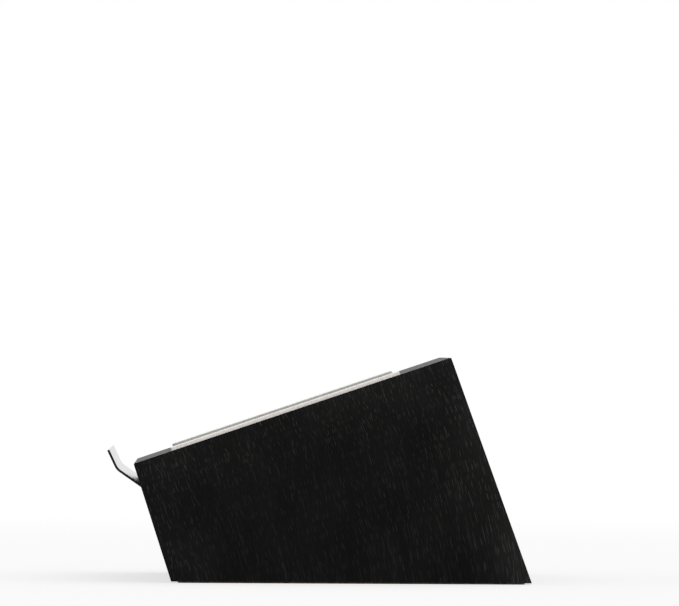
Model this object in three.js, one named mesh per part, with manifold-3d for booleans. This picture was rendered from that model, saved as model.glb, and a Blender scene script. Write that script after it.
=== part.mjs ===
// A desk stand that holds an open notebook computer at a slope.
// Millimetres, +Z up, -Y is the front (the user's side), +X is the user's right.
// The origin is the middle of the whole stand, on the desk.
//
// A hollow box of black-stained veneered panels, mitred at every visible corner, leans forward.
// A bent sheet-metal lip is let into its front and stops the notebook from sliding off.
// Two felt rails on the sloping top carry the notebook, and a thin pad covers the underside.

import * as THREE from 'three';
import { ConvexGeometry } from 'three/addons/geometries/ConvexGeometry.js';
import { mergeVertices } from 'three/addons/utils/BufferGeometryUtils.js';
import Module from 'manifold-3d';

// ---------------------------------------------------------------- driving dimensions

// the outside of the wooden body
const BODY_WIDTH = 254;
const BODY_DEPTH = 248.7; // front to rear along the underside
const FRONT_HEIGHT = 81; // from the underside up to the front top edge
const FRONT_RAKE = 18; // degrees by which the front leans forward
const REAR_RAKE = 20; // degrees by which the rear leans forward
const TOP_SLOPE = 18.8; // degrees by which the top climbs to the rear

// the panels and what holds them together
const PANEL = 12;
const BASE_PANEL = 9;
const BATTEN_WIDTH = 22;
const BATTEN_HEIGHT = 16;
const GLUE_BLOCK = 18; // the legs of the triangular blocks under the top
const GLUE_BLOCK_END_GAP = 15; // from each end of a block to the side panel beside it

// the metal lip
const LIP_SHEET = 1.6;
const LIP_SIDE_INSET = 4; // from the end of the lip to the side of the body
const LIP_DROP = 17.1; // down the front, from the top edge to where the lip leaves it
const LIP_FLANGE = 26;
const LIP_LEG = 20.9;
const LIP_UPSTAND = 14.7;
const LIP_BREAK = 37.3; // degrees between the front and the leg
const LIP_TURN = 29.8; // degrees by which the upstand turns back up
const LIP_FLANGE_RADIUS = 2.5; // both radii are on the side away from the wood
const LIP_CORNER_RADIUS = 10;

// the screws in the lip and the brass inserts that they turn into
const LIP_SCREW = { head: 2.9, headHeight: 1.45, shank: 1.5, length: 8, point: 0.6, count: 4 };
const LIP_SCREW_END = 30; // from the end of the lip to the first screw
const LIP_SCREW_RISE = 11; // from the flange's lower edge to the screws
const LIP_SCREW_SOCKET = 2; // across the flats of the hexagon socket
const LIP_SCREW_SOCKET_DEPTH = 1.1;
const INSERT_RADIUS = 2.6;
const INSERT_LENGTH = 8;

// the screws under the base
const BASE_SCREW = { head: 3.5, headHeight: 2.2, shank: 1.75, length: 20, point: 3 };
const BASE_SCREW_ROW = 3; // screws along the front batten, and along the rear one
const BASE_SCREW_END = 34; // from the side of the body to the first screw of a row
const BASE_SCREW_SLOT = 0.9;
const BASE_SCREW_SLOT_LENGTH = 3.6;
const BASE_SCREW_SLOT_DEPTH = 1.3;

// the felt rails on top and the pad underneath
const FELT = 2.2;
const FELT_WIDTH = 36;
const FELT_FRONT_MARGIN = 27.6; // along the slope, from the front top edge to the felt
const FELT_REAR_MARGIN = 36.8; // from the felt to the rear top edge
const FELT_SIDE_INSET = 1;
const FELT_CORNER = 2;
const PAD = 0.8;
const PAD_INSET = 4.6;
const PAD_CORNER = 5;

// ---------------------------------------------------------------- clearances

const MITRE_GAP = 0.3; // between the faces of a mitre, square to them
const GLUE_GAP = 0.3; // between two faces that are glued together
const BOND_GAP = 0.2; // the adhesive film under the felt and above the pad
const FIT_GAP = 0.3; // round the lip's flange in its recess
const HOLE_GAP = 0.2; // round a screw or an insert in its hole
const DRILL_TIP = 1; // what a blind hole is deeper than what goes into it

const ROUND = 20; // facets of a screw, an insert and the holes for them
const CORNER_STEPS = 6; // facets of a rounded corner
const PROUD = 5; // how far a cutter stands out of the face that it cuts

// ---------------------------------------------------------------- materials

const finish = (color, roughness, metalness) =>
  new THREE.MeshStandardMaterial({ color, roughness, metalness });

const stainedVeneer = finish(0x1b1a19, 0.55, 0);
const barePlywood = finish(0xb8946a, 0.7, 0);
const blackMetal = finish(0x101010, 0.35, 0.6);
const zincedSteel = finish(0xa8a9ab, 0.4, 0.9);
const brass = finish(0xb08d4a, 0.35, 0.9);
const felt = finish(0xd8d3cc, 1, 0);
const padding = finish(0x2f2721, 0.9, 0);

// ---------------------------------------------------------------- the side outline

const { degToRad } = THREE.MathUtils;
const slope = degToRad(TOP_SLOPE);
const frontRake = degToRad(FRONT_RAKE);
const rearRake = degToRad(REAR_RAKE);

// Each outer face of the body, seen from the side, as the line ny * y + nz * z = at.
// (ny, nz) points into the body, and y = z = 0 is the front edge of the underside.
const bottomFace = { ny: 0, nz: 1, at: 0 };
const frontFace = { ny: Math.cos(frontRake), nz: Math.sin(frontRake), at: 0 };
const rearFace = {
  ny: -Math.cos(rearRake),
  nz: -Math.sin(rearRake),
  at: -Math.cos(rearRake) * BODY_DEPTH,
};
const topFace = {
  ny: Math.sin(slope),
  nz: -Math.cos(slope),
  at: -Math.sin(slope) * Math.tan(frontRake) * FRONT_HEIGHT - Math.cos(slope) * FRONT_HEIGHT,
};

// where two faces meet, each moved into the body by its own inset
function meet(a, insetA, b, insetB) {
  const atA = a.at + insetA;
  const atB = b.at + insetB;
  const det = a.ny * b.nz - a.nz * b.ny;
  return { y: (atA * b.nz - a.nz * atB) / det, z: (a.ny * atB - atA * b.ny) / det };
}

// the point of an inset front or rear face at a height above the underside
const wallAt = (face, inset, height) => meet(face, inset, bottomFace, height);

// ---------------------------------------------------------------- solids

// the flat-sided solid between profile points that stand at one x and others at another
function between(x0, points0, x1, points1) {
  const corners = [
    ...points0.map(({ y, z }) => new THREE.Vector3(x0, y, z)),
    ...points1.map(({ y, z }) => new THREE.Vector3(x1, y, z)),
  ];
  return new ConvexGeometry(corners);
}

// a straight bar along X with the same section from end to end
const bar = (section, x0, x1) => between(x0, section, x1, section);

// a panel whose inner face is smaller than its outer one on three or four sides
function mitredPanel(outer, outerHalf, inner, innerHalf) {
  const corners = [];
  for (const side of [-1, 1]) {
    corners.push(...outer.map(({ y, z }) => new THREE.Vector3(side * outerHalf, y, z)));
    corners.push(...inner.map(({ y, z }) => new THREE.Vector3(side * innerHalf, y, z)));
  }
  return new ConvexGeometry(corners);
}

// a rectangle with rounded corners, drawn about its middle
function roundedRectangle(width, length, radius) {
  const x = width / 2 - radius;
  const y = length / 2 - radius;
  const shape = new THREE.Shape();
  shape.absarc(x, y, radius, 0, Math.PI / 2);
  shape.absarc(-x, y, radius, Math.PI / 2, Math.PI);
  shape.absarc(-x, -y, radius, Math.PI, 1.5 * Math.PI);
  shape.absarc(x, -y, radius, 1.5 * Math.PI, 2 * Math.PI);
  return shape;
}

const extrude = (shape, depth) =>
  new THREE.ExtrudeGeometry(shape, { depth, bevelEnabled: false, curveSegments: CORNER_STEPS });

// a turned solid about local Z from points (radius, z) that run upwards on the outside
function turn(points) {
  const profile = points.map(([radius, z]) => new THREE.Vector2(radius, z));
  return new THREE.LatheGeometry(profile, ROUND).rotateX(Math.PI / 2);
}

// A countersunk screw: its head is flush with z = 0 and it points down. Grown by a gap,
// and with its head carried on upwards, it is the cutter for its own hole.
function screwBlank(screw, gap = 0, proud = 0) {
  const shank = screw.shank + gap;
  const tip = screw.length + gap + (proud ? DRILL_TIP : 0);
  const top = proud ? [[screw.head + gap, proud], [0, proud]] : [[0, 0]];
  return turn([
    [0, -tip],
    [shank, -tip + screw.point],
    [shank, -screw.headHeight - gap],
    [screw.head + gap, -gap],
    ...(gap ? [[screw.head + gap, 0]] : []),
    ...top,
  ]);
}

// ---------------------------------------------------------------- joining and cutting

const wasm = await Module();
wasm.setup();

function toManifold(geometry) {
  const bare = geometry.clone();
  bare.deleteAttribute('normal');
  bare.deleteAttribute('uv');
  const merged = mergeVertices(bare);
  const triangles = [];
  for (let i = 0; i < merged.index.count; i += 3) {
    const [a, b, c] = [0, 1, 2].map((k) => merged.index.getX(i + k));
    if (a !== b && b !== c && c !== a) triangles.push(a, b, c);
  }
  return new wasm.Manifold(
    new wasm.Mesh({
      numProp: 3,
      vertProperties: new Float32Array(merged.attributes.position.array),
      triVerts: new Uint32Array(triangles),
    }),
  );
}

function toGeometry(manifold) {
  const { vertProperties, triVerts } = manifold.getMesh();
  const geometry = new THREE.BufferGeometry();
  geometry.setAttribute('position', new THREE.BufferAttribute(vertProperties, 3));
  geometry.setIndex(new THREE.BufferAttribute(triVerts, 1));
  geometry.computeVertexNormals();
  return geometry;
}

function cut(geometry, cutters) {
  const left = cutters.reduce((solid, cutter) => solid.subtract(toManifold(cutter)), toManifold(geometry));
  return toGeometry(left);
}

// ---------------------------------------------------------------- the scene graph

const group = new THREE.Group();
group.name = 'laptop_stand';

const body = new THREE.Group(); // stands on the pad
body.position.z = PAD + BOND_GAP;
group.add(body);

// a group that lies on an outer face of the body, its local Z pointing out of the face
function faceGroup(origin, face, along) {
  const placed = new THREE.Group();
  const basis = new THREE.Matrix4().makeBasis(
    new THREE.Vector3(1, 0, 0),
    new THREE.Vector3(0, along.y, along.z),
    new THREE.Vector3(0, -face.ny, -face.nz),
  );
  placed.quaternion.setFromRotationMatrix(basis);
  placed.position.set(0, origin.y, origin.z);
  placed.updateMatrix();
  body.add(placed);
  return placed;
}

function add(parent, name, geometry, material, x = 0, y = 0, z = 0) {
  const mesh = new THREE.Mesh(geometry, material);
  mesh.name = name;
  mesh.position.set(x, y, z);
  parent.add(mesh);
  return mesh;
}

const frontTopEdge = meet(frontFace, 0, topFace, 0);
const upTheFront = { y: -Math.sin(frontRake), z: Math.cos(frontRake) };
const upTheSlope = { y: Math.cos(slope), z: Math.sin(slope) };
const lipLine = {
  y: frontTopEdge.y - upTheFront.y * LIP_DROP,
  z: frontTopEdge.z - upTheFront.z * LIP_DROP,
};
const front = faceGroup(lipLine, frontFace, upTheFront); // origin where the lip leaves the wood
const top = faceGroup(frontTopEdge, topFace, upTheSlope); // origin on the front top edge

// evenly spaced places between two ends
const spread = (first, last, count) =>
  Array.from({ length: count }, (_, i) => first + ((last - first) * i) / (count - 1));

// ---------------------------------------------------------------- the lip

const lipHalf = BODY_WIDTH / 2 - LIP_SIDE_INSET;
const lipScrewX = spread(LIP_SCREW_END - lipHalf, lipHalf - LIP_SCREW_END, LIP_SCREW.count);
const lipScrewY = LIP_SCREW_RISE - LIP_FLANGE;

// The lip's section on the face away from the wood, as corners (up the front, out of it).
const lipBreak = degToRad(LIP_BREAK);
const lipLean = degToRad(LIP_BREAK - LIP_TURN);
const lipCorner = new THREE.Vector2(Math.cos(lipBreak), Math.sin(lipBreak)).multiplyScalar(LIP_LEG);
const lipTip = new THREE.Vector2(Math.cos(lipLean), Math.sin(lipLean))
  .multiplyScalar(LIP_UPSTAND)
  .add(lipCorner);
const lipPath = [new THREE.Vector2(-LIP_FLANGE, 0), new THREE.Vector2(0, 0), lipCorner, lipTip];
const lipRadii = [0, LIP_FLANGE_RADIUS, LIP_CORNER_RADIUS, 0];

// the line beside an open path, on its right-hand side, at a distance from it
function beside(path, distance) {
  return path.map((point, i) => {
    const before = i > 0 ? point.clone().sub(path[i - 1]).normalize() : null;
    const after = i < path.length - 1 ? path[i + 1].clone().sub(point).normalize() : null;
    const ahead = (before ?? after).clone().add(after ?? before).normalize();
    const reach = distance / ahead.dot(after ?? before);
    return new THREE.Vector2(point.x + ahead.y * reach, point.y - ahead.x * reach);
  });
}

// the points of an open path whose inner corners are rounded
function rounded(path, radii) {
  return path.flatMap((corner, i) => {
    if (!radii[i]) return [corner];
    const back = path[i - 1].clone().sub(corner).normalize();
    const on = path[i + 1].clone().sub(corner).normalize();
    const half = back.angleTo(on) / 2;
    const toCentre = back.clone().add(on).normalize().multiplyScalar(radii[i] / Math.sin(half));
    const centre = corner.clone().add(toCentre);
    const start = corner.clone().addScaledVector(back, radii[i] / Math.tan(half));
    const turned = Math.PI - 2 * half;
    const sense = Math.sign(on.cross(back));
    return spread(0, sense * turned, CORNER_STEPS + 1).map((angle) =>
      start.clone().rotateAround(centre, angle),
    );
  });
}

// On the wood's side the radius grows by the sheet at the first bend and shrinks at the second.
const outside = rounded(lipPath, lipRadii);
const woodSide = rounded(beside(lipPath, LIP_SHEET), [
  0,
  LIP_FLANGE_RADIUS + LIP_SHEET,
  LIP_CORNER_RADIUS - LIP_SHEET,
  0,
]);
const lipSection = new THREE.Shape([...outside, ...woodSide.reverse()]);
const sectionToFace = new THREE.Matrix4().makeBasis(
  new THREE.Vector3(0, 1, 0),
  new THREE.Vector3(0, 0, 1),
  new THREE.Vector3(1, 0, 0),
);
const lipBlank = extrude(lipSection, 2 * lipHalf).translate(0, 0, -lipHalf).applyMatrix4(sectionToFace);
const lipHoles = lipScrewX.map((x) =>
  screwBlank(LIP_SCREW, HOLE_GAP, PROUD).translate(x, lipScrewY, 0),
);
add(front, 'lip', cut(lipBlank, lipHoles), blackMetal);

const hexagonSocket = new THREE.CylinderGeometry(
  LIP_SCREW_SOCKET / Math.sqrt(3),
  LIP_SCREW_SOCKET / Math.sqrt(3),
  2 * LIP_SCREW_SOCKET_DEPTH,
  6,
).rotateX(Math.PI / 2);
const lipScrew = cut(screwBlank(LIP_SCREW), [hexagonSocket]);

const insertTop = -LIP_SHEET - FIT_GAP;
const insertBore = LIP_SCREW.shank + HOLE_GAP;
const insert = turn([
  [insertBore, -INSERT_LENGTH],
  [INSERT_RADIUS, -INSERT_LENGTH],
  [INSERT_RADIUS, 0],
  [insertBore, 0],
  [insertBore, -INSERT_LENGTH],
]);
lipScrewX.forEach((x, i) => {
  add(front, `lip_screw_${i + 1}`, lipScrew, blackMetal, x, lipScrewY, 0);
  add(front, `lip_insert_${i + 1}`, insert, brass, x, lipScrewY, insertTop);
});

// ---------------------------------------------------------------- the outer panels

const half = BODY_WIDTH / 2;
const mitre = MITRE_GAP / Math.SQRT2; // how far each mitred edge stops short of the corner

// the body's outline with the front, rear and top faces moved in by one inset
const outline = (inset) => [
  meet(frontFace, inset, bottomFace, 0),
  meet(rearFace, inset, bottomFace, 0),
  meet(rearFace, inset, topFace, inset),
  meet(frontFace, inset, topFace, inset),
];
const sideOuter = outline(mitre);
const sideInner = outline(PANEL + mitre);
add(body, 'side_panel_right', between(half, sideOuter, half - PANEL, sideInner), stainedVeneer);
add(body, 'side_panel_left', between(-half, sideOuter, PANEL - half, sideInner), stainedVeneer);

// a front or rear panel, mitred to both sides and to the top, before anything is cut in it
const wall = (face) =>
  mitredPanel(
    [wallAt(face, 0, 0), meet(face, 0, topFace, mitre)],
    half - mitre,
    [wallAt(face, PANEL, 0), meet(face, PANEL, topFace, PANEL + mitre)],
    half - PANEL - mitre,
  );

// The flange lies flush in a recess, which runs up to where the leg is clear of the wood.
const recessFoot = -LIP_FLANGE - FIT_GAP;
const recessHead = LIP_SHEET / Math.sin(lipBreak) + FIT_GAP;
const recessDepth = LIP_SHEET + FIT_GAP;
const recess = new THREE.BoxGeometry(
  2 * (lipHalf + FIT_GAP),
  recessHead - recessFoot,
  recessDepth + PROUD,
).translate(0, (recessHead + recessFoot) / 2, (PROUD - recessDepth) / 2);
const insertDepth = recessDepth + INSERT_LENGTH + HOLE_GAP;
const insertHoles = lipScrewX.map((x) =>
  turn([
    [0, -insertDepth],
    [INSERT_RADIUS + HOLE_GAP, -insertDepth],
    [INSERT_RADIUS + HOLE_GAP, 0],
    [0, 0],
  ]).translate(x, lipScrewY, 0),
);
const frontCuts = [recess, ...insertHoles].map((cutter) => cutter.applyMatrix4(front.matrix));
add(body, 'front_panel', cut(wall(frontFace), frontCuts), stainedVeneer);
add(body, 'rear_panel', wall(rearFace), stainedVeneer);

const topPanel = mitredPanel(
  [meet(frontFace, mitre, topFace, 0), meet(rearFace, mitre, topFace, 0)],
  half - mitre,
  [meet(frontFace, PANEL + mitre, topFace, PANEL), meet(rearFace, PANEL + mitre, topFace, PANEL)],
  half - PANEL - mitre,
);
add(body, 'top_panel', topPanel, stainedVeneer);

// ---------------------------------------------------------------- inside the body

const inside = PANEL + GLUE_GAP; // from an outer face to what is glued behind its panel
const insideHalf = half - inside;
const battenFoot = BASE_PANEL + GLUE_GAP;
const battenHead = battenFoot + BATTEN_HEIGHT;
const battenInner = inside + BATTEN_WIDTH;

// the long battens stand against the front and the rear wall, and lean with them
const battenSection = (face) => [
  wallAt(face, inside, battenFoot),
  wallAt(face, battenInner, battenFoot),
  wallAt(face, battenInner, battenHead),
  wallAt(face, inside, battenHead),
];
// the short ones lie against the sides, between the long ones
const sideBattenSection = [
  wallAt(frontFace, battenInner + GLUE_GAP, battenFoot),
  wallAt(rearFace, battenInner + GLUE_GAP, battenFoot),
  wallAt(rearFace, battenInner + GLUE_GAP, battenHead),
  wallAt(frontFace, battenInner + GLUE_GAP, battenHead),
];
const basePanelSection = [
  wallAt(frontFace, inside, 0),
  wallAt(rearFace, inside, 0),
  wallAt(rearFace, inside, BASE_PANEL),
  wallAt(frontFace, inside, BASE_PANEL),
];

// each screw goes up through the base panel into the middle of a batten
const middle = inside + BATTEN_WIDTH / 2;
const rowX = spread(BASE_SCREW_END - half, half - BASE_SCREW_END, BASE_SCREW_ROW);
const frontRowY = wallAt(frontFace, middle, battenFoot).y;
const rearRowY = wallAt(rearFace, middle, battenFoot).y;
const sideY = (frontRowY + rearRowY) / 2;
const frontRow = rowX.map((x) => ({ x, y: frontRowY }));
const rearRow = rowX.map((x) => ({ x, y: rearRowY }));
const sideRow = [-1, 1].map((side) => ({ x: side * (half - middle), y: sideY }));
const baseScrewPlaces = [...frontRow, ...rearRow, ...sideRow];

const headDown = new THREE.Matrix4().makeRotationX(Math.PI);
const baseScrewHoles = (places) =>
  places.map(({ x, y }) =>
    screwBlank(BASE_SCREW, HOLE_GAP, PROUD).applyMatrix4(headDown).translate(x, y, 0),
  );

add(
  body,
  'base_panel',
  cut(bar(basePanelSection, -insideHalf, insideHalf), baseScrewHoles(baseScrewPlaces)),
  barePlywood,
);
add(
  body,
  'front_batten',
  cut(bar(battenSection(frontFace), -insideHalf, insideHalf), baseScrewHoles(frontRow)),
  barePlywood,
);
add(
  body,
  'rear_batten',
  cut(bar(battenSection(rearFace), -insideHalf, insideHalf), baseScrewHoles(rearRow)),
  barePlywood,
);
const sideBattenX = [insideHalf - BATTEN_WIDTH, insideHalf];
const sideHoles = baseScrewHoles(sideRow);
add(
  body,
  'left_batten',
  cut(bar(sideBattenSection, -sideBattenX[1], -sideBattenX[0]), [sideHoles[0]]),
  barePlywood,
);
add(
  body,
  'right_batten',
  cut(bar(sideBattenSection, sideBattenX[0], sideBattenX[1]), [sideHoles[1]]),
  barePlywood,
);

// a cross recess in the head
const slot = (width, length) =>
  new THREE.BoxGeometry(width, length, 2 * BASE_SCREW_SLOT_DEPTH);
const baseScrew = cut(screwBlank(BASE_SCREW), [
  slot(BASE_SCREW_SLOT, BASE_SCREW_SLOT_LENGTH),
  slot(BASE_SCREW_SLOT_LENGTH, BASE_SCREW_SLOT),
]).applyMatrix4(headDown);
baseScrewPlaces.forEach(({ x, y }, i) => {
  add(body, `base_screw_${i + 1}`, baseScrew, zincedSteel, x, y, 0);
});

// triangular blocks behind the mitres that join the top to the front and to the rear
const glueBlock = (face) =>
  bar(
    [
      meet(face, inside, topFace, inside),
      meet(face, inside + GLUE_BLOCK, topFace, inside),
      meet(face, inside, topFace, inside + GLUE_BLOCK),
    ],
    GLUE_BLOCK_END_GAP - insideHalf,
    insideHalf - GLUE_BLOCK_END_GAP,
  );
add(body, 'front_glue_block', glueBlock(frontFace), barePlywood);
add(body, 'rear_glue_block', glueBlock(rearFace), barePlywood);

// ---------------------------------------------------------------- felt and pad

const rearTopEdge = meet(rearFace, 0, topFace, 0);
const topLength = (rearTopEdge.y - frontTopEdge.y) / Math.cos(slope);
const feltLength = topLength - FELT_FRONT_MARGIN - FELT_REAR_MARGIN;
const feltRail = extrude(roundedRectangle(FELT_WIDTH, feltLength, FELT_CORNER), FELT);
const feltX = half - FELT_SIDE_INSET - FELT_WIDTH / 2;
const feltY = FELT_FRONT_MARGIN + feltLength / 2;
add(top, 'felt_rail_right', feltRail, felt, feltX, feltY, BOND_GAP);
add(top, 'felt_rail_left', feltRail, felt, -feltX, feltY, BOND_GAP);

const basePad = extrude(
  roundedRectangle(BODY_WIDTH - 2 * PAD_INSET, BODY_DEPTH - 2 * PAD_INSET, PAD_CORNER),
  PAD,
);
add(group, 'base_pad', basePad, padding, 0, BODY_DEPTH / 2, 0);

// ---------------------------------------------------------------- the origin

group.updateMatrixWorld(true);
const extent = new THREE.Box3().setFromObject(group, true);
group.position.y = -(extent.min.y + extent.max.y) / 2;

export default group;
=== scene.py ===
"""A desk stand that holds an open notebook computer at a slope, with its finishes.

The packed frame gives every size and place. Each operator dresses one group of its pieces:
the veneered panels, the bare wood inside, the lip and its fasteners, the felt rails and the
base pad. One more sets up the camera, the floor and the light.
"""

import math

import bmesh
import bpy
from mathutils import Matrix, Vector, noise


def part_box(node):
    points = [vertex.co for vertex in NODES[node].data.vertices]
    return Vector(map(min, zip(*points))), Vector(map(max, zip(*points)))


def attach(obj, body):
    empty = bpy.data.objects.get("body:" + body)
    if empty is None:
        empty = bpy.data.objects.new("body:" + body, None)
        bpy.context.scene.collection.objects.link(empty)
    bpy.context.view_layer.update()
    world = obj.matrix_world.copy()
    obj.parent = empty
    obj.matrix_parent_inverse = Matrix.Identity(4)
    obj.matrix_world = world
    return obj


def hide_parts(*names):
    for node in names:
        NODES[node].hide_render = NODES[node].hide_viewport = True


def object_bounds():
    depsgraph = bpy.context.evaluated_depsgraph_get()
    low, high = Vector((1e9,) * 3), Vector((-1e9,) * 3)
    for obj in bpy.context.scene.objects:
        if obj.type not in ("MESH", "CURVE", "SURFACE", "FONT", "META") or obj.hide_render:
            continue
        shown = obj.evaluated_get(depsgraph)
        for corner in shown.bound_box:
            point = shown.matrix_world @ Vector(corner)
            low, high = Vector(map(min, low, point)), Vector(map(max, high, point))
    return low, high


bl_info = {
    "name": "Laptop Stand",
    "version": (1, 0, 0),
    "blender": (4, 5, 0),
    "location": "View3D > Sidebar > Stand",
    "description": "Makes a veneered laptop stand with a metal lip, felt rails and a base pad",
    "category": "Object",
}

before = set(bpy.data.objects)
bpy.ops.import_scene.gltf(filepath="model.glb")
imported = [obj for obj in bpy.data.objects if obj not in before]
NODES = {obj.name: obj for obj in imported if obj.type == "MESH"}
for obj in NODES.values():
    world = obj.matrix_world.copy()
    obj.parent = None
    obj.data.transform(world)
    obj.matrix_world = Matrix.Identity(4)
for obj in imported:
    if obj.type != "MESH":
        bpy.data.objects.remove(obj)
CAD_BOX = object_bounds()

MM = 0.001
BODY = "root"
PANELS = ("side_panel_right", "side_panel_left", "front_panel", "rear_panel", "top_panel")
X_AXIS = Vector((1, 0, 0))
Y_AXIS = Vector((0, 1, 0))
Z_AXIS = Vector((0, 0, 1))
SAME_PLANE = 0.02 * MM  # how near two planes, or a point and a plane, count as together
SAME_WAY = 0.9999  # the least cosine between two normals that count as one


# ---------------------------------------------------------------- planes of the frame


class Plane:
    """A flat face: a point on it, its unit normal and its area."""

    def __init__(self, point, normal, area=0.0):
        self.point, self.normal, self.area = Vector(point), Vector(normal).normalized(), area

    def height(self, point):
        """How far a point stands out of the plane, along its normal."""
        return self.normal.dot(point - self.point)

    def same_as(self, other):
        aligned = self.normal.dot(other.normal) > SAME_WAY
        return aligned and abs(self.height(other.point)) < SAME_PLANE


def planes_of(node):
    """The flat faces of a node, the triangles of one face taken together."""
    found = []
    for polygon in NODES[node].data.polygons:
        plane = Plane(polygon.center, polygon.normal, polygon.area)
        known = next((p for p in found if p.same_as(plane)), None)
        if known:
            known.area += plane.area
        else:
            found.append(plane)
    return found


def outer_plane(node):
    """A panel's visible face: the widest that looks away from the middle of the stand."""
    low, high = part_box("base_panel")
    middle = (low + high) / 2 + Vector((0, 0, (CAD_BOX[1].z - CAD_BOX[0].z) / 4))
    outward = [p for p in planes_of(node) if p.normal.dot(p.point - middle) > 0]
    return max(outward, key=lambda p: p.area)


def shared_corner(planes):
    """The point where three planes meet."""
    rows = Matrix([p.normal for p in planes])
    return rows.inverted() @ Vector([p.normal.dot(p.point) for p in planes])


OUTER = {node: outer_plane(node) for node in PANELS}
UNDERSIDE = Plane(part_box("side_panel_right")[0], -Z_AXIS)
UP_THE_FRONT = OUTER["front_panel"].normal.cross(X_AXIS)
UP_THE_REAR = -OUTER["rear_panel"].normal.cross(X_AXIS)
UP_THE_SIDE = OUTER["top_panel"].normal  # the veneer's lines stand square to the top


# ---------------------------------------------------------------- shader graphs


class Value:
    """A socket in a node tree. Arithmetic on it adds Math nodes."""

    def __init__(self, graph, socket):
        self.graph, self.socket = graph, socket

    def _math(self, operation, *terms):
        return self.graph.node("ShaderNodeMath", {"operation": operation}, dict(enumerate(terms)))

    def __add__(self, other):
        return self._math("ADD", self, other)

    __radd__ = __add__

    def __mul__(self, other):
        return self._math("MULTIPLY", self, other)

    __rmul__ = __mul__

    def __sub__(self, other):
        return self._math("SUBTRACT", self, other)

    def __rsub__(self, other):
        return self._math("SUBTRACT", other, self)

    def __truediv__(self, other):
        return self._math("DIVIDE", self, other)

    def __rtruediv__(self, other):
        return self._math("DIVIDE", other, self)

    def __pow__(self, other):
        return self._math("POWER", self, other)

    def __rpow__(self, other):
        return self._math("POWER", other, self)

    def __mod__(self, other):
        return self._math("FLOORED_MODULO", self, other)

    def __rmod__(self, other):
        return self._math("FLOORED_MODULO", other, self)

    def __abs__(self):
        return self._math("ABSOLUTE", self)

    def least(self, other):
        """The smaller of the two."""
        return self._math("MINIMUM", self, other)

    def most(self, other):
        """The larger of the two."""
        return self._math("MAXIMUM", self, other)

    def step(self, low, high):
        """0 below low, 1 above high and a smooth rise between."""
        return self.graph.node(
            "ShaderNodeMapRange",
            {"interpolation_type": "SMOOTHSTEP"},
            {"Value": self, "From Min": low, "From Max": high},
        )

    def output(self, name):
        """Another output of the node that this value comes from."""
        return Value(self.graph, self.socket.node.outputs[name])


class Graph:
    """The node tree of a material or a world."""

    def __init__(self, owner):
        owner.use_nodes = True
        self.tree = owner.node_tree
        self.tree.nodes.clear()

    def node(self, kind, settings=None, sockets=None, out=0):
        """Adds a node, applies its settings, then fills its sockets with numbers or links."""
        made = self.tree.nodes.new(kind)
        for name, setting in (settings or {}).items():
            setattr(made, name, setting)
        for key, value in (sockets or {}).items():
            if isinstance(value, Value):
                self.tree.links.new(value.socket, made.inputs[key])
            else:
                made.inputs[key].default_value = value
        return Value(self, made.outputs[out]) if made.outputs else made

    def position(self):
        """The point in the stand's own frame, in metres."""
        return self.node("ShaderNodeTexCoord", out="Object")

    def along(self, vector, direction):
        """How far a point lies along a direction, in millimetres."""
        steps = tuple(Vector(direction) / MM)
        settings = {"operation": "DOT_PRODUCT"}
        return self.node("ShaderNodeVectorMath", settings, {0: vector, 1: steps}, out="Value")

    def inside(self, vector, planes):
        """How far a point lies behind the nearest of some planes, in millimetres."""
        nearest = None
        for plane in planes:
            depth = plane.normal.dot(plane.point) / MM - self.along(vector, plane.normal)
            nearest = nearest.least(depth) if nearest else depth
        return nearest

    def place(self, x, y, z=0.0):
        """A vector made of three numbers."""
        return self.node("ShaderNodeCombineXYZ", sockets={"X": x, "Y": y, "Z": z})

    def dashes(self, x, y, half_width, half_length):
        """One slender dash at a random spot of each unit cell, and a random colour for it."""
        spot = self.place(x, y)
        flat = {"voronoi_dimensions": "2D"}
        cell = self.node("ShaderNodeTexVoronoi", flat, {"Vector": spot, "Scale": 1.0})
        apart = self.node(
            "ShaderNodeVectorMath", {"operation": "SUBTRACT"}, {0: spot, 1: cell.output("Position")}
        )
        split = self.node("ShaderNodeSeparateXYZ", sockets={"Vector": apart})
        aside = abs(split) / half_width
        ahead = abs(split.output("Y")) / half_length
        return (1 - aside - ahead**4).step(0.0, 0.5), cell.output("Color")

    def noise(self, vector, scale=1.0, detail=2.0, roughness=0.5, distortion=0.0):
        """Soft noise, about 0 to 1."""
        sockets = {
            "Vector": vector,
            "Scale": scale,
            "Detail": detail,
            "Roughness": roughness,
            "Distortion": distortion,
        }
        return self.node("ShaderNodeTexNoise", sockets=sockets)

    def cells(self, vector, scale=1.0):
        """The distance to the middle of the nearest cell; its Color is random for each cell."""
        return self.node("ShaderNodeTexVoronoi", sockets={"Vector": vector, "Scale": scale})

    def channel(self, color, name="Red"):
        """One part of a colour."""
        return self.node("ShaderNodeSeparateColor", sockets={"Color": color}, out=name)

    def tint(self, factor, first, second):
        """From the first colour to the second as the factor goes from 0 to 1."""
        colors = [c if isinstance(c, Value) else rgba(c) for c in (first, second)]
        sockets = {0: factor, 6: colors[0], 7: colors[1]}
        return self.node("ShaderNodeMix", {"data_type": "RGBA"}, sockets, out=2)

    def bump(self, height, distance, strength=1.0):
        """A normal leaned by a height from 0 to 1 that stands for a distance in metres."""
        sockets = {"Height": height, "Distance": distance, "Strength": strength}
        return self.node("ShaderNodeBump", sockets=sockets)

    def surface(self, **inputs):
        """Ends the tree in a Principled shader; an input's name has _ for its spaces."""
        sockets = {name.replace("_", " "): value for name, value in inputs.items()}
        shader = self.node("ShaderNodeBsdfPrincipled", sockets=sockets)
        self.node("ShaderNodeOutputMaterial", sockets={"Surface": shader})


def rgba(color):
    """A colour with its alpha."""
    return (*tuple(color)[:3], 1.0)


def shade(color, factor):
    """A colour made lighter or darker."""
    return tuple(c * factor for c in tuple(color)[:3])


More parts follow.
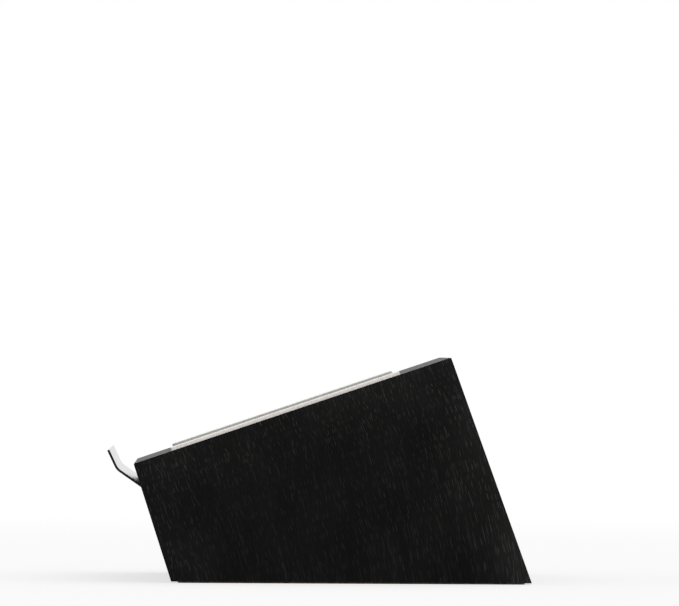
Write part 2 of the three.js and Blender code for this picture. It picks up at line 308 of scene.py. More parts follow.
def new_material(name):
    """A material and its empty graph."""
    material = bpy.data.materials.new(name)
    return material, Graph(material)


# ---------------------------------------------------------------- materials


# How the veneer's lines run, in millimetres. Only those of the side panels bow, and only their
# pores grow shorter upwards.
SWAY = 5  # how far a line wanders from side to side
BOW, BOW_START = 0.00065, 80  # how fast the lines bend, and the height at which they are straight
PACE, PACE_START = 0.0025, 0.28  # how fast the pores grow shorter, and how much longer they start
PORE_WIDTH, PORE_SHARE = 0.46, 0.84  # a pore's width, and its length as a share of its cell
REAR_LIGHT_START, REAR_LIGHT_END = -90, 120  # from front to rear, where the painted light from the rear grows brighter


def veneer(node, grain, settings):
    """Black-stained open-pore veneer whose lines run along the grain direction."""
    material, g = new_material(f"stained_veneer_{node}")
    normal = OUTER[node].normal
    point = g.position()
    along = g.along(point, grain)
    depth = g.along(point, normal)
    straight = g.along(point, normal.cross(grain))
    sway = g.noise(g.place(straight / 60, along / 100, depth / 60), detail=1.0)
    bow = (along - BOW_START) ** 2 * (BOW * normal.x)
    across = straight - bow + (sway - 0.5) * SWAY
    paced = along + (along * PACE - PACE_START) * along * abs(normal.x)

    bands = g.noise(g.place(across / 9, along / 240, depth / 9), detail=3.0)
    patches = g.noise(g.place(across / 34, along / 46, depth / 34), detail=2.0)
    fibre = g.noise(g.place(across / 0.5, along / 8, depth / 0.5), detail=2.0, roughness=0.6)
    neighbours = [plane for name, plane in OUTER.items() if name != node]
    # partly rubbed stain, partly painted light: a band near the edges shared with the other panels is
    # made paler
    worn_and_lit_edges = 1 - g.inside(point, neighbours).step(0.0, settings.wear_and_light_reach / MM)
    # painted light: the veneer is made paler, and its pores clearer, towards the rear, as if lit from
    # behind and above
    painted_rear_light = g.along(point, Y_AXIS).step(REAR_LIGHT_START, REAR_LIGHT_END)

    def pores(width, length, shift, least, most):
        """Dashes along the grain, one to a cell, more in the open bands; most are faint."""
        half_width, half_length = PORE_WIDTH / 2 / width, PORE_SHARE / 2
        dash, random = g.dashes(across / width + shift, paced / length, half_width, half_length)
        chance = g.channel(random, "Green") + (bands - 0.5) * 0.5 + (patches - 0.5) * 0.5
        clear = g.channel(random, "Red") ** 2 * 0.9 + 0.1
        return dash * chance.step(least, most) * clear

    fine = pores(width=1.1, length=5.2, shift=0.0, least=0.35, most=0.9)
    medium = pores(width=1.6, length=8, shift=5.3, least=0.45, most=0.95)
    long = pores(width=2.4, length=13, shift=9.1, least=0.5, most=0.95)
    pore = fine.most(medium).most(long)

    tone = (bands * 0.3 + patches * 0.9 + fibre * 0.4 - 0.3).step(0.25, 0.75)
    wood = g.tint(tone, shade(settings.stain_color, 0.45), shade(settings.stain_color, 1.6))
    # the paler stain of the rubbed and painted-light band along the edges and the rear
    faded_and_lit = g.tint(tone, shade(settings.stain_color, 2.6), shade(settings.stain_color, 5.6))
    wood = g.tint(worn_and_lit_edges * (painted_rear_light * 0.7 + 0.3), wood, faded_and_lit)
    # painted light: the pores are made clearer near the edges and towards the rear
    clarity = (painted_rear_light * 0.5 + 0.75) * (worn_and_lit_edges * 1.3 + 0.8) * settings.pore_strength
    color = g.tint(pore * clarity, wood, settings.pore_color)
    relief = g.bump(fibre * 0.4 - pore, 0.06 * MM, 0.6)
    g.surface(
        Base_Color=color,
        Roughness=settings.roughness + pore * 0.25 + (fibre - 0.5) * 0.12,
        Normal=relief,
        Specular_IOR_Level=settings.shine,
    )
    return material


PLY = 1.4  # millimetres from one glue line to the next


def bare_plywood(name, settings):
    """Unfinished birch plywood: pale faces with thin darker glue lines on the edges."""
    material, g = new_material(name)
    point = g.position()
    x, y, z = (g.along(point, way) for way in (X_AXIS, Y_AXIS, Z_AXIS))
    grain = g.noise(g.place(x / 40, y / 3, z / 3), detail=4.0)
    plies = (z / PLY) % 1.0
    line = 1 - (plies - 0.5) * (plies - 0.5) * 4
    tone = (grain * 0.7 + line.step(0.0, 0.25) * 0.3).step(0.2, 0.9)
    color = g.tint(tone, shade(settings.core_color, 0.7), settings.core_color)
    g.surface(Base_Color=color, Roughness=0.7 + grain * 0.1, Normal=g.bump(grain, 0.1 * MM, 0.5))
    return material


def black_metal(name, settings):
    """Satin black coating with a very fine orange-peel surface."""
    material, g = new_material(name)
    point = g.position()
    peel = g.noise(point, scale=1 / (0.5 * MM), detail=2.0)
    cloud = g.noise(point, scale=1 / (18 * MM), detail=3.0)
    speck = g.cells(point, scale=1 / (1.1 * MM)).step(0.0, 0.12)
    coat = settings.coat_color
    color = g.tint(cloud.step(0.3, 0.7), shade(coat, 0.8), shade(coat, 1.25))
    g.surface(
        Base_Color=color,
        Roughness=settings.coat_roughness + (cloud - 0.5) * 0.05 + (1 - speck) * 0.1,
        Normal=g.bump(peel, 0.012 * MM, 0.15),
        Specular_IOR_Level=settings.coat_shine,
    )
    return material


def turned_metal(name, color, roughness):
    """Bare turned metal with fine machining rings and slight staining."""
    material, g = new_material(name)
    point = g.position()
    rings = g.noise(point, scale=1 / (0.25 * MM), detail=1.0)
    stain = g.noise(point, scale=1 / (4 * MM), detail=3.0)
    g.surface(
        Base_Color=g.tint(stain.step(0.3, 0.8), shade(color, 0.75), color),
        Metallic=1.0,
        Roughness=roughness + stain * 0.15,
        Normal=g.bump(rings, 0.01 * MM, 0.6),
    )
    return material


def wool_felt(name, settings):
    """Pressed wool: matted fibres, painted shade in the hollows between them and a soft sheen."""
    material, g = new_material(name)
    point = g.position()
    matted = g.noise(point, scale=1 / (2.6 * MM), detail=4.0, roughness=0.65, distortion=1.2)
    fibres = g.noise(point, scale=1 / (0.55 * MM), detail=3.0, roughness=0.7, distortion=2.5)
    body = (matted * 0.55 + fibres * 0.45).step(0.3, 0.68)
    # painted shade: the wool is made darker where the bump is low, as if shade fell into the hollows
    color = g.tint(body, settings.hollow_shade_color, settings.wool_color)
    g.surface(
        Base_Color=color,
        Roughness=0.9 + fibres * 0.1,
        Normal=g.bump(matted * 0.6 + fibres * 0.5, 0.35 * MM, 0.8),
        Specular_IOR_Level=0.2,
        Sheen_Weight=0.25,
        Sheen_Roughness=0.5,
    )
    return material


def cork_rubber(name, settings):
    """Dark granules bound in black rubber."""
    material, g = new_material(name)
    point = g.position()
    grain = g.cells(point, scale=1 / (1.7 * MM))
    tone = g.channel(grain.output("Color"))
    speckle = g.noise(point, scale=1 / (0.4 * MM), detail=2.0)
    mixed = (tone * 0.8 + speckle * 0.2).step(0.1, 0.95)
    color = g.tint(mixed, settings.binder_color, settings.granule_color)
    g.surface(
        Base_Color=color,
        Roughness=0.75 + speckle * 0.2,
        Normal=g.bump(speckle * 0.5 - grain * 0.5, 0.15 * MM, 0.7),
        Specular_IOR_Level=0.3,
    )
    return material


# ---------------------------------------------------------------- mesh work


def evaluated_copy(piece):
    """The piece's mesh with its modifiers applied."""
    graph = bpy.context.evaluated_depsgraph_get()
    return bpy.data.meshes.new_from_object(piece.evaluated_get(graph))


def put(name, bm, material, slot, *nodes, smooth=None):
    """Makes a piece from a bmesh, rides it on the body and hides the nodes it stands for."""
    mesh = bpy.data.meshes.new(name)
    bmesh.ops.recalc_face_normals(bm, faces=bm.faces)
    bm.to_mesh(mesh)
    bm.free()
    piece = bpy.data.objects.new(name, mesh)
    bpy.context.scene.collection.objects.link(piece)
    mesh.materials.append(material)
    if smooth:
        mesh.shade_smooth()
        mesh.set_sharp_from_angle(angle=math.radians(smooth))
        even = piece.modifiers.new("even_normals", "WEIGHTED_NORMAL")
        even.keep_sharp = True
    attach(piece, BODY)
    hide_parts(*nodes)
    return piece


def dress(node, material):
    """Gives a CAD node its finish."""
    mesh = NODES[node].data
    mesh.materials.clear()
    mesh.materials.append(material)


def cut_away(bm, cutters):
    """The bmesh less each of the cutters, which are used up."""
    scratch = []

    def temporary(source):
        mesh = bpy.data.meshes.new("scratch")
        bmesh.ops.recalc_face_normals(source, faces=source.faces)
        source.to_mesh(mesh)
        source.free()
        made = bpy.data.objects.new("scratch", mesh)
        bpy.context.scene.collection.objects.link(made)
        scratch.append(made)
        return made

    block = temporary(bm)
    for cutter in cutters:
        cut = block.modifiers.new("cut", "BOOLEAN")
        cut.operation, cut.solver, cut.object = "DIFFERENCE", "EXACT", temporary(cutter)
    left = evaluated_copy(block)
    for made in scratch:
        bpy.data.meshes.remove(made.data)
    result = bmesh.new()
    result.from_mesh(left)
    bpy.data.meshes.remove(left)
    return result


def box_mesh(low, high, matrix):
    """A box between two corners, given in the axes of the matrix."""
    bm = bmesh.new()
    size, middle = Vector(high) - Vector(low), (Vector(high) + Vector(low)) / 2
    shape = Matrix.Translation(middle) @ Matrix.Diagonal((*size, 1))
    bmesh.ops.create_cube(bm, size=1, matrix=matrix @ shape)
    return bm


def turned(profile, matrix, steps=48):
    """A solid turned about local Z from (radius, z) points that start and end on the axis."""
    bm = bmesh.new()
    rings = []
    for radius, z in profile:
        count = steps if radius > 0 else 1
        angles = [2 * math.pi * i / count for i in range(count)]
        rings.append([bm.verts.new((radius * math.cos(a), radius * math.sin(a), z)) for a in angles])
    for low, high in zip(rings, rings[1:]):
        for i in range(steps):
            corners = [low[i % len(low)], low[(i + 1) % len(low)]]
            corners += [high[(i + 1) % len(high)], high[i % len(high)]]
            bm.faces.new(list(dict.fromkeys(corners)))
    bm.transform(matrix)
    return bm


def prism(sides, radius, low, high, matrix):
    """An upright prism about local Z."""
    bm = bmesh.new()
    angles = [2 * math.pi * i / sides for i in range(sides)]
    ends = [
        [bm.verts.new((radius * math.cos(a), radius * math.sin(a), z)) for a in angles]
        for z in (low, high)
    ]
    for end in ends:
        bm.faces.new(end)
    for i in range(sides):
        j = (i + 1) % sides
        bm.faces.new((ends[0][i], ends[0][j], ends[1][j], ends[1][i]))
    bm.transform(matrix)
    return bm


def axes_at(origin, normal):
    """Axes whose X is the stand's X and whose Z is the normal of a face."""
    up = Vector(normal).cross(X_AXIS)
    rows = Matrix((X_AXIS, up, Vector(normal))).transposed().to_4x4()
    return Matrix.Translation(origin) @ rows


def eased_block(radius, foot_radius):
    """The whole body as one solid with softly rounded edges, which the panels are cut from."""
    bm = bmesh.new()
    corners = {}
    for side in ("side_panel_right", "side_panel_left"):
        for end in ("front_panel", "rear_panel"):
            for level in ("top_panel", "foot"):
                planes = (OUTER[side], OUTER[end], OUTER.get(level, UNDERSIDE))
                corners[side, end, level] = bm.verts.new(shared_corner(planes))
    for choice in range(3):
        for face in sorted({key[choice] for key in corners}):
            loop = [vert for key, vert in corners.items() if key[choice] == face]
            loop[2], loop[3] = loop[3], loop[2]
            bm.faces.new(loop)
    bmesh.ops.recalc_face_normals(bm, faces=bm.faces)
    ease = {"segments": 5, "profile": 0.5, "affect": "EDGES", "clamp_overlap": True}
    foot = [e for e in bm.edges if all(UNDERSIDE.height(v.co) > -SAME_PLANE for v in e.verts)]
    upper = [e for e in bm.edges if e not in foot]
    bmesh.ops.bevel(bm, geom=upper, offset=radius, **ease)
    foot = [e for e in bm.edges if all(UNDERSIDE.height(v.co) > -SAME_PLANE for v in e.verts)]
    bmesh.ops.bevel(bm, geom=foot, offset=foot_radius, **{**ease, "segments": 2})
    return bm


def carved(block, node):
    """What one panel fills of the block: the part within its mitres and its inner face."""
    bm = block.copy()
    spots = [vert.co for vert in NODES[node].data.vertices]
    outer = [*OUTER.values(), UNDERSIDE]
    for plane in planes_of(node):
        bounds_node = all(plane.height(spot) < SAME_PLANE for spot in spots)
        if not bounds_node or any(plane.same_as(o) for o in outer):
            continue
        cut = bmesh.ops.bisect_plane(
            bm,
            geom=[*bm.verts, *bm.edges, *bm.faces],
            plane_co=plane.point,
            plane_no=plane.normal,
            clear_outer=True,
        )
        rim = [e for e in cut["geom_cut"] if isinstance(e, bmesh.types.BMEdge)]
        bmesh.ops.contextual_create(bm, geom=rim)
    return bm


def softened(node, radius, segments=3, sharp=60):
    """A copy of a node's mesh, its flat faces made whole and its sharp edges rounded."""
    bm = bmesh.new()
    bm.from_mesh(NODES[node].data)
    bmesh.ops.remove_doubles(bm, verts=bm.verts, dist=0.001 * MM)
    bmesh.ops.dissolve_limit(bm, angle_limit=math.radians(0.3), verts=bm.verts, edges=bm.edges)
    hard = [e for e in bm.edges if e.is_manifold and e.calc_face_angle() > math.radians(sharp)]
    bmesh.ops.bevel(
        bm, geom=hard, offset=radius, segments=segments, profile=0.5, affect="EDGES", clamp_overlap=True
    )
    return bm


def rounded_outline(half_x, half_y, corner, steps):
    """Points round a rectangle with rounded corners."""
    points = []
    for quarter in range(4):
        sx, sy = ((1, 1), (-1, 1), (-1, -1), (1, -1))[quarter]
        for i in range(steps + 1):
            angle = (quarter + i / steps) * math.pi / 2
            x = sx * (half_x - corner) + corner * math.cos(angle)
            y = sy * (half_y - corner) + corner * math.sin(angle)
            points.append((x, y))
    return points


def subdivided(points, longest):
    """A closed outline with extra points, so that no side is longer than this."""
    out = []
    for a, b in zip(points, points[1:] + points[:1]):
        count = max(1, math.ceil(math.dist(a, b) / longest))
        out += [tuple(p + (q - p) * i / count for p, q in zip(a, b)) for i in range(count)]
    return out


LUMP = 1.3 * MM  # size of the felt's lumps
FINER, FINER_SHARE = 2.7, 0.6  # how much finer the second layer is, and its share of the first


def matted_slab(half_x, half_y, thickness, corner, edge, step, fuzz, seed):
    """A felt strip about local Z, its underside at 0: rounded rims and an uneven surface."""
    outline = subdivided(rounded_outline(half_x, half_y, corner, steps=5), step)

    def ring(inset, z):
        """The outline drawn in by an inset, at a height."""
        shrink_x, shrink_y = (half_x - inset) / half_x, (half_y - inset) / half_y
        return [bm.verts.new((x * shrink_x, y * shrink_y, z)) for x, y in outline]

    bm = bmesh.new()
    rings = [ring(0, 0), ring(0, thickness * 0.35), ring(0, thickness - edge)]
    for turn in (0.3, 0.6, 0.85, 1.0):
        angle = turn * math.pi / 2
        rings.append(ring(edge * (1 - math.cos(angle)), thickness - edge * (1 - math.sin(angle))))
    inset = edge
    while inset + step * 1.5 < half_x:
        inset += step
        rings.append(ring(inset, thickness))
    rings.append(ring(half_x, thickness))
    for low, high in zip(rings, rings[1:]):
        for i in range(len(outline)):
            j = (i + 1) % len(outline)
            bm.faces.new((low[i], low[j], high[j], high[i]))
    bm.faces.new(rings[0][::-1])
    bmesh.ops.remove_doubles(bm, verts=rings[-1], dist=0.01 * MM)  # the last ring is the middle line
    bmesh.ops.recalc_face_normals(bm, faces=bm.faces)
    bm.normal_update()
    base = set(rings[0])
    for vert in bm.verts:
        if vert in base:
            continue
        spot = vert.co / LUMP + Vector((seed, 0, 0))
        lift = noise.noise(spot) + FINER_SHARE * noise.noise(spot * FINER)
        vert.co += vert.normal * min(0.0, lift - FINER_SHARE) * fuzz
    return bm


# ---------------------------------------------------------------- settings


def length(name, text, default):
    """A length property, its default given in millimetres."""
    return bpy.props.FloatProperty(
        name=name, description=text, default=default * MM, min=0.0, precision=5, unit="LENGTH"
    )


def colour(name, text, default):
    return bpy.props.FloatVectorProperty(
        name=name, description=text, default=default, min=0.0, max=1.0, size=3, subtype="COLOR"
    )


def share(name, text, default):
    return bpy.props.FloatProperty(
        name=name, description=text, default=default, min=0.0, max=1.0, subtype="FACTOR"
    )


def strength(name, text, default):
    return bpy.props.FloatProperty(name=name, description=text, default=default, min=0.0)


class VeneerSettings(bpy.types.PropertyGroup):
    """The outer panels and the bare wood behind them."""

    edge_radius: length("Edge radius", "How far the body's outer edges are rounded", 0.6)
    foot_radius: length("Foot radius", "How far the edges round the underside are rounded", 0.15)
    # the reach of the edge band that is painted paler, partly rubbed stain, partly painted light
    wear_and_light_reach: length("Wear", "How far in from an edge the stain is a little faded", 45)
    stain_color: colour("Stain", "Colour of the stained veneer", (0.0018, 0.0018, 0.00175))
    pore_color: colour("Pores", "Colour of the open pores", (0.050, 0.049, 0.047))
    pore_strength: share("Pore strength", "How clearly the pores show", 0.5)
    roughness: share("Roughness", "Roughness of the finish between the pores", 0.45)
    shine: share("Shine", "How strongly the finish reflects", 0.08)
    core_color: colour("Bare wood", "Colour of the plywood inside", (0.50, 0.34, 0.18))


class LipSettings(bpy.types.PropertyGroup):
    """The bent lip, its screws and inserts, and the screws under the base."""

    edge_radius: length("Edge radius", "How far the sheet's cut edges are rounded", 0.12)
    recess_gap: length("Recess gap", "Space round the flange in its recess", 0.3)
    coat_color: colour("Coating", "Colour of the coated metal", (0.003, 0.003, 0.003))
    coat_roughness: share("Coating roughness", "Roughness of the coated metal", 0.07)
    coat_shine: share("Coating shine", "How strongly the coated metal reflects", 0.12)
    socket_width: length("Socket", "Width of the hexagon socket across its flats", 2.0)
    socket_depth: length("Socket depth", "Depth of the hexagon socket", 1.1)
    brass_color: colour("Brass", "Colour of the threaded inserts", (0.62, 0.43, 0.16))
    zinc_color: colour("Zinc", "Colour of the screws under the base", (0.50, 0.51, 0.53))


class FeltSettings(bpy.types.PropertyGroup):
    """The two felt rails."""

    rim: length("Rim", "How far the felt's upper rim is rounded", 0.6)
    corner: length("Corner", "How far its corners are rounded", 2.0)
    fuzz: length("Fuzz", "Depth of the uneven surface", 0.12)
    wool_color: colour("Wool", "Colour of the wool", (0.82, 0.80, 0.765))
    # the colour of the painted shade laid in the felt's hollows
    hollow_shade_color: colour("Hollows", "Colour between the fibres", (0.61, 0.58, 0.54))


class PadSettings(bpy.types.PropertyGroup):
    """The thin pad under the base."""

    corner: length("Corner", "How far the pad's corners are rounded", 5.0)
    rim: length("Rim", "How far its edges are rounded", 0.15)
    granule_color: colour("Granules", "Colour of the granules", (0.14, 0.09, 0.055))
    binder_color: colour("Binder", "Colour of the binder", (0.035, 0.022, 0.015))


class StageSettings(bpy.types.PropertyGroup):
    """The camera, the floor and the light."""

    eye_distance: length("Distance", "From the stand's near side to the camera", 5216)
    eye_y: length("Eye, front to rear", "Camera's place behind the wood's front foot", 25.53)
    eye_height: length("Eye height", "Camera's height above the wood's underside", 157.5)
    aim_y: length("Aim, front to rear", "Aimed point behind the wood's front foot", 114.93)
    aim_height: length("Aim height", "Aimed point's height above the wood's underside", 192.5)
    focal_length: bpy.props.FloatProperty(
        name="Focal length", description="Lens, on a sensor 36 mm wide", default=401.4, unit="CAMERA"
    )
    roll: bpy.props.FloatProperty(
        name="Roll",
        description="Camera's turn about its own axis",
        default=math.radians(0.33),
        unit="ROTATION",
    )
    floor_color: colour("Floor", "Share of the light that the floor returns", (0.23, 0.23, 0.23))
    near_glow: colour("Glow, near", "Light from under the floor, round the stand", (0.66, 0.66, 0.66))
    far_glow: colour("Glow, far", "Light from under the floor, further out", (0.72, 0.72, 0.72))
    glow_start: length("Glow start", "Where the floor begins to grow brighter", 800)
    glow_end: length("Glow end", "Where it stops growing brighter", 2600)
    sky_low: strength("Low light", "Brightness of the surroundings at eye level", 0.22)
    sky_high: strength("High light", "What is added to it overhead", 1.56)
    backdrop: strength("Backdrop light", "What is added to it at the far side, low down", 0.7)


# ---------------------------------------------------------------- the pieces


class STAND_OT_panels(bpy.types.Operator):
    """Make the veneered outer panels"""

    bl_idname = "stand.panels"
    bl_label = "Veneered panels"

    def execute(self, context):
        settings = context.scene.stand_veneer
        grain = {
            "side_panel_right": UP_THE_SIDE,
            "side_panel_left": UP_THE_SIDE,
            "front_panel": UP_THE_FRONT,
            "rear_panel": UP_THE_REAR,
            "top_panel": X_AXIS,
        }
        block = eased_block(settings.edge_radius, settings.foot_radius)
        for node in PANELS:
            place = node.replace("_panel", "")
            material = veneer(node, grain[node], settings)
            bm = carved(block, node)
            if node == "front_panel":
                bm = cut_away(bm, self.recess(context))
            put(f"{place}_veneered", bm, material, "stained_veneer", node)
        block.free()
        return {"FINISHED"}

    @staticmethod
    def recess(context):
        """Cutters for the flange's recess and the holes behind it."""
        face = OUTER["front_panel"]
        gap = context.scene.stand_lip.recess_gap
        axes = axes_at(face.point, face.normal)
        buried = bmesh.new()
        buried.from_mesh(NODES["lip"].data)
        bmesh.ops.bisect_plane(
            buried,
            geom=[*buried.verts, *buried.edges, *buried.faces],
            plane_co=face.point,
            plane_no=face.normal,
            clear_outer=True,
        )
        spots = [axes.inverted() @ vert.co for vert in buried.verts]
        buried.free()
        room, overlap, past_the_face = 0.2 * MM, 1 * MM, Vector((0, 0, 5 * MM))
        low = Vector([min(spot[i] for spot in spots) - gap for i in range(3)])
        high = Vector([max(spot[i] for spot in spots) + gap for i in range(3)])
        cutters = [box_mesh(low, high + past_the_face, axes)]
        for node in sorted(name for name in NODES if name.startswith("lip_insert")):
            insert = [axes.inverted() @ v.co for v in NODES[node].data.vertices]
            middle = sum(insert, Vector()) / len(insert)
            radius = max(math.hypot(p.x - middle.x, p.y - middle.y) for p in insert) + room
            foot = min(p.z for p in insert) - room
            shift = Matrix.Translation((middle.x, middle.y, 0))
            cutters.append(prism(32, radius, foot, low.z + overlap, axes @ shift))
        return cutters


class STAND_OT_carcass(bpy.types.Operator):
    """Give the bare wood inside the body its finish"""

    bl_idname = "stand.carcass"
    bl_label = "Bare wood inside"

    def execute(self, context):
        material = bare_plywood("bare_plywood", context.scene.stand_veneer)
        for node in NODES:
            if node == "base_panel" or node.endswith(("_batten", "_glue_block")):
                dress(node, material)
        return {"FINISHED"}


class STAND_OT_lip(bpy.types.Operator):
    """Make the bent lip"""

    bl_idname = "stand.lip"
    bl_label = "Lip"

    def execute(self, context):
        settings = context.scene.stand_lip
        bm = softened("lip", settings.edge_radius)
        put("bent_lip", bm, black_metal("satin_black", settings), "black_metal", "lip", smooth=35)
        return {"FINISHED"}


class STAND_OT_fasteners(bpy.types.Operator):
    """Make the lip's screws, and give the inserts and the base screws their finish"""

    bl_idname = "stand.fasteners"
    bl_label = "Screws and inserts"

    def execute(self, context):
        settings = context.scene.stand_lip
        coated = black_metal("blackened_screw", settings)
        brass = turned_metal("turned_brass", settings.brass_color, roughness=0.3)
        zinc = turned_metal("zinc_plate", settings.zinc_color, roughness=0.35)
        for node in sorted(NODES):
            if node.startswith("lip_insert"):
                dress(node, brass)
            elif node.startswith("base_screw"):
                dress(node, zinc)
            elif node.startswith("lip_screw"):
                self.screw(node, coated, settings)
        return {"FINISHED"}

    @staticmethod
    def screw(node, material, settings):
        """A round countersunk screw with a hexagon socket, in the place of the plain one."""
        face = OUTER["front_panel"]
        axes = axes_at(face.point, face.normal).inverted()
        spots = [axes @ v.co for v in NODES[node].data.vertices]
        rim = [p for p in spots if abs(p.z) < SAME_PLANE]
        middle = (Vector(map(min, *rim)) + Vector(map(max, *rim))) / 2
        across = [math.hypot(p.x - middle.x, p.y - middle.y) for p in spots]
        head = max(across)
        tip = min(p.z for p in spots)
        shank = max(r for r, p in zip(across, spots) if p.z < tip / 2)
        collar = -(head - shank)
        lead = 0.4  # the tip's chamfer, as a share of the shank's radius
        rim_edge = 0.06 * MM  # the rim's chamfer
        cone_inset = 0.08 * MM  # how far inside the rim the cone begins
        profile = [
            (0, tip),
            (shank * (1 - lead), tip),
            (shank, tip + shank * lead),
            (shank, collar),
            (head - cone_inset, -2 * rim_edge),
            (head, -rim_edge),
            (head - rim_edge, 0),
            (0, 0),
        ]
        place = axes_at(face.point, face.normal) @ Matrix.Translation((middle.x, middle.y, 0))
        socket = prism(6, settings.socket_width / math.sqrt(3), -settings.socket_depth, 1 * MM, place)
        bm = cut_away(turned(profile, place), [socket])
        put(node.replace("lip_screw", "socket_screw"), bm, material, "black_metal", node, smooth=30)


class STAND_OT_felt(bpy.types.Operator):
    """Make the felt rails"""

    bl_idname = "stand.felt"
    bl_label = "Felt rails"

    def execute(self, context):
        settings = context.scene.stand_felt
        material = wool_felt("wool_felt", settings)
        top = OUTER["top_panel"]
        turned_round = Matrix.Rotation(math.pi, 4, "Z")
        axes = axes_at(top.point, top.normal) @ turned_round
        for index, side in enumerate(("right", "left")):
            node = f"felt_rail_{side}"
            spots = [axes.inverted() @ v.co for v in NODES[node].data.vertices]
            low, high = Vector(map(min, *spots)), Vector(map(max, *spots))
            half, middle = (high - low) / 2, (high + low) / 2
            bm = matted_slab(
                half.x,
                half.y,
                thickness=high.z - SAME_PLANE,
                corner=settings.corner,
                edge=settings.rim,
                step=1.0 * MM,
                fuzz=settings.fuzz,
                seed=index * 7.3,
            )
            bm.transform(axes @ Matrix.Translation((middle.x, middle.y, SAME_PLANE)))
            rail = put(f"felt_{side}", bm, material, "wool_felt", node, smooth=80)
        return {"FINISHED"}


class STAND_OT_pad(bpy.types.Operator):
    """Make the pad under the base"""

    bl_idname = "stand.pad"
    bl_label = "Base pad"

    def execute(self, context):
        settings = context.scene.stand_pad
        low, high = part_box("base_pad")
        half, middle = (high - low) / 2, (high + low) / 2
        thickness = UNDERSIDE.point.z - low.z - SAME_PLANE
        outline = rounded_outline(half.x, half.y, settings.corner, steps=10)
        bm = bmesh.new()
        sheet = bm.faces.new([bm.verts.new((x, y, 0)) for x, y in outline])
        grown = bmesh.ops.extrude_face_region(bm, geom=[sheet])
        risen = [v for v in grown["geom"] if isinstance(v, bmesh.types.BMVert)]
        bmesh.ops.translate(bm, verts=risen, vec=(0, 0, thickness))
        level = [e for e in bm.edges if abs(e.verts[0].co.z - e.verts[1].co.z) < SAME_PLANE]
        rims = [e for e in level if e.is_manifold]
        bmesh.ops.bevel(bm, geom=rims, offset=settings.rim, segments=3, profile=0.5, affect="EDGES")
        bm.transform(Matrix.Translation((middle.x, middle.y, low.z)))
        material = cork_rubber("cork_rubber", settings)
        pad = put("bonded_pad", bm, material, "cork_rubber", "base_pad", smooth=35)
        return {"FINISHED"}


SENSOR_WIDTH = 36
CLIP = (0.1, 5000)  # metres in front of the camera
FLOOR_REACH = 1500  # metres from the middle of the floor to its edge
FLOOR_GAP = 0.05 * MM  # between the pad and the floor


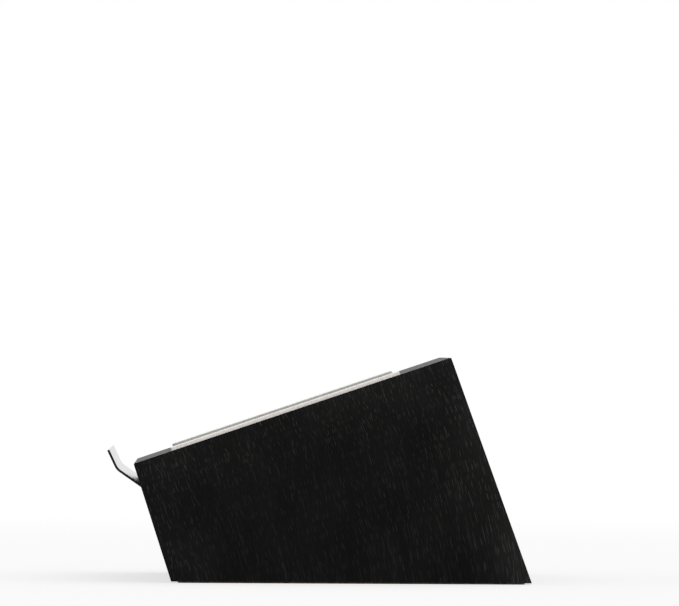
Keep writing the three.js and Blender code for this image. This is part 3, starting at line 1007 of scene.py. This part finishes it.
class STAND_OT_stage(bpy.types.Operator):
    """Set up the camera, the floor and the light"""

    bl_idname = "stand.stage"
    bl_label = "Stage"

    def execute(self, context):
        settings = context.scene.stand_stage
        self.camera(context.scene, settings)
        self.floor(settings)
        self.surroundings(context.scene, settings)
        context.scene.view_settings.view_transform = "Standard"
        return {"FINISHED"}

    @staticmethod
    def camera(scene, settings):
        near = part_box("side_panel_right")[1].x
        foot = shared_corner((OUTER["side_panel_right"], OUTER["front_panel"], UNDERSIDE))
        corner = Vector((near, foot.y, foot.z))
        eye = corner + Vector((settings.eye_distance, settings.eye_y, settings.eye_height))
        aim = corner + Vector((0, settings.aim_y, settings.aim_height))
        data = bpy.data.cameras.new("camera")
        data.lens, data.sensor_width = settings.focal_length, SENSOR_WIDTH
        data.clip_start, data.clip_end = CLIP
        camera = bpy.data.objects.new("camera", data)
        scene.collection.objects.link(camera)
        turn = (aim - eye).to_track_quat("-Z", "Y").to_matrix().to_4x4()
        camera.matrix_world = Matrix.Translation(eye) @ turn @ Matrix.Rotation(settings.roll, 4, "Z")
        scene.camera = camera

    @staticmethod
    def floor(settings):
        material, g = new_material("lit_floor")
        way_out = g.node("ShaderNodeVectorMath", {"operation": "LENGTH"}, {0: g.position()}, out="Value")
        far = way_out.step(settings.glow_start, settings.glow_end)
        g.surface(
            Base_Color=rgba(settings.floor_color),
            Roughness=0.9,
            Specular_IOR_Level=0.0,
            Emission_Color=g.tint(far, settings.near_glow, settings.far_glow),
            Emission_Strength=1.0,
        )
        bm = bmesh.new()
        bmesh.ops.create_grid(bm, x_segments=1, y_segments=1, size=FLOOR_REACH)
        mesh = bpy.data.meshes.new("floor")
        bm.to_mesh(mesh)
        bm.free()
        mesh.materials.append(material)
        floor = bpy.data.objects.new("floor", mesh)
        floor.location.z = CAD_BOX[0].z - FLOOR_GAP
        bpy.context.scene.collection.objects.link(floor)

    @staticmethod
    def surroundings(scene, settings):
        """A white background, and a soft light, brightest overhead and low down on the far side."""
        world = bpy.data.worlds.new("studio")
        scene.world = world
        g = Graph(world)
        way = g.node("ShaderNodeTexCoord", out="Generated")
        split = g.node("ShaderNodeSeparateXYZ", sockets={"Vector": way})
        height = split.output("Z").most(0.0)
        far_side = (split * -1).step(0.35, 0.95) * (1 - height.step(0.15, 0.6))
        light = settings.sky_low + settings.sky_high * height + settings.backdrop * far_side
        white = rgba((1, 1, 1))
        seen = g.node("ShaderNodeBackground", sockets={"Color": white, "Strength": 1.0})
        lit = g.node("ShaderNodeBackground", sockets={"Color": white, "Strength": light})
        direct = g.node("ShaderNodeLightPath", out="Is Camera Ray")
        both = g.node("ShaderNodeMixShader", sockets={0: direct, 1: lit, 2: seen})
        g.node("ShaderNodeOutputWorld", sockets={"Surface": both})


class STAND_PT_sidebar(bpy.types.Panel):
    """Lists the stand's pieces and their settings"""

    bl_label = "Laptop Stand"
    bl_idname = "STAND_PT_sidebar"
    bl_space_type = "VIEW_3D"
    bl_region_type = "UI"
    bl_category = "Stand"

    def draw(self, context):
        for operator in OPERATORS:
            self.layout.operator(operator.bl_idname)
        for name, group in SETTINGS.items():
            box = self.layout.box()
            box.label(text=group.__doc__)
            for prop in group.__annotations__:
                box.prop(getattr(context.scene, name), prop)


SETTINGS = {
    "stand_veneer": VeneerSettings,
    "stand_lip": LipSettings,
    "stand_felt": FeltSettings,
    "stand_pad": PadSettings,
    "stand_stage": StageSettings,
}
OPERATORS = (
    STAND_OT_stage,
    STAND_OT_panels,
    STAND_OT_carcass,
    STAND_OT_lip,
    STAND_OT_fasteners,
    STAND_OT_felt,
    STAND_OT_pad,
)


def register():
    for cls in (*SETTINGS.values(), *OPERATORS, STAND_PT_sidebar):
        bpy.utils.register_class(cls)
    for name, group in SETTINGS.items():
        setattr(bpy.types.Scene, name, bpy.props.PointerProperty(type=group))


def unregister():
    for name in SETTINGS:
        delattr(bpy.types.Scene, name)
    for cls in reversed((*SETTINGS.values(), *OPERATORS, STAND_PT_sidebar)):
        bpy.utils.unregister_class(cls)


def main():
    register()
    for operator in OPERATORS:
        group, name = operator.bl_idname.split(".")
        getattr(getattr(bpy.ops, group), name)()


if __name__ == "__main__":
    main()
